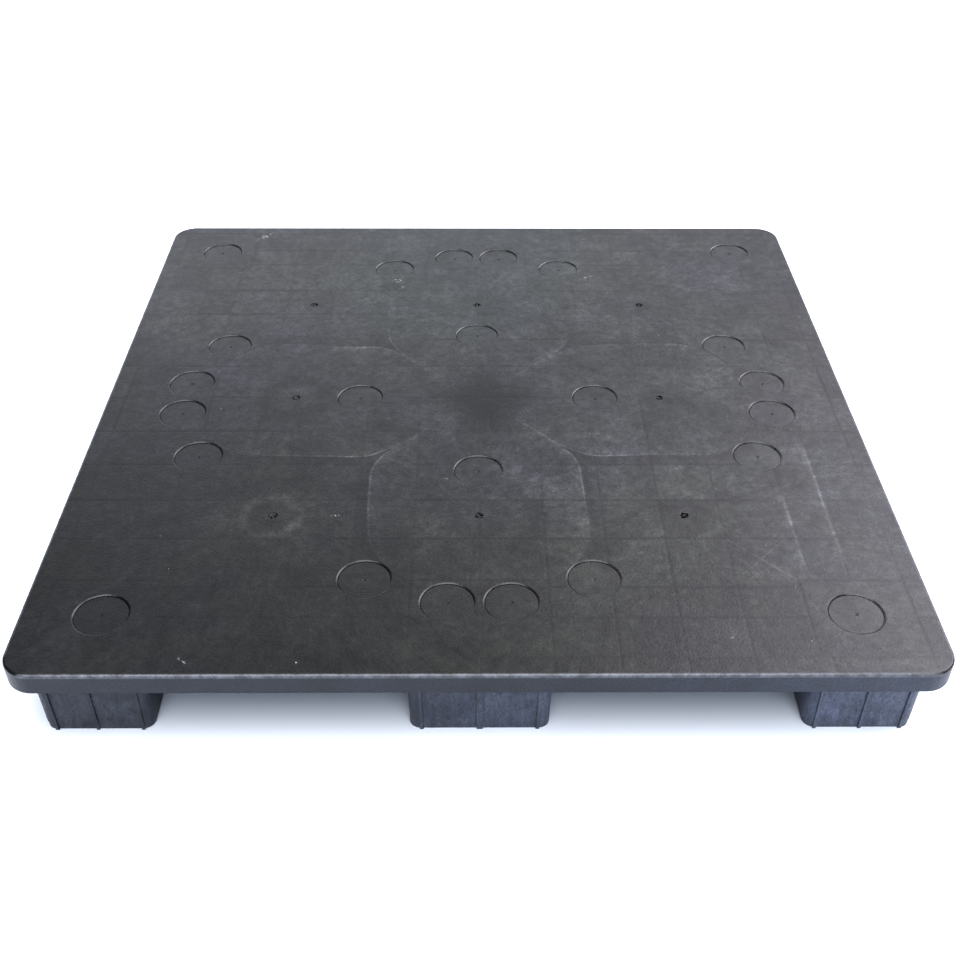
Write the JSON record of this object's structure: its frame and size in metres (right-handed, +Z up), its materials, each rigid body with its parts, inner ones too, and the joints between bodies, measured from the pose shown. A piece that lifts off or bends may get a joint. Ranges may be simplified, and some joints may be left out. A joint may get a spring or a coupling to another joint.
{
  "type": "plastic pallet",
  "caption": "Square closed-deck plastic pallet with a smooth top, round discs set in shallow pockets, a shallow skirt and snap-in block feet for four-way fork entry.",
  "frame": {"origin": "on the floor under the middle of the deck, at the bottom centre of the bounding box", "axes": "+Z up through the middle of the deck; +X to the right and +Y to the back, along the deck's edges"},
  "size_m": [1.2, 1.2, 0.135],
  "materials": {
    "deck_plastic": "satin moulded polyethylene, dark charcoal, fine grain with flow lines and scuffs",
    "foot_plastic": "satin moulded polyethylene, dark blue-grey charcoal",
    "disc_plastic": "matt moulded plastic, dark charcoal, fine grain"
  },
  "bodies": {
    "root": {"deck": "deck_plastic", "foot_front_left": "foot_plastic", "foot_front_middle": "foot_plastic", "foot_front_right": "foot_plastic", "foot_middle_left": "foot_plastic", "foot_centre": "foot_plastic", "foot_middle_right": "foot_plastic", "foot_back_left": "foot_plastic", "foot_back_middle": "foot_plastic", "foot_back_right": "foot_plastic", "disc_01": "disc_plastic", "disc_02": "disc_plastic", "disc_03": "disc_plastic", "disc_04": "disc_plastic", "disc_05": "disc_plastic", "disc_06": "disc_plastic", "disc_07": "disc_plastic", "disc_08": "disc_plastic", "disc_09": "disc_plastic", "disc_10": "disc_plastic", "disc_11": "disc_plastic", "disc_12": "disc_plastic", "disc_13": "disc_plastic", "disc_14": "disc_plastic", "disc_15": "disc_plastic", "disc_16": "disc_plastic", "disc_17": "disc_plastic", "disc_18": "disc_plastic", "disc_19": "disc_plastic", "disc_20": "disc_plastic", "disc_21": "disc_plastic", "disc_22": "disc_plastic", "disc_23": "disc_plastic", "disc_24": "disc_plastic"}
  },
  "joints": []
}
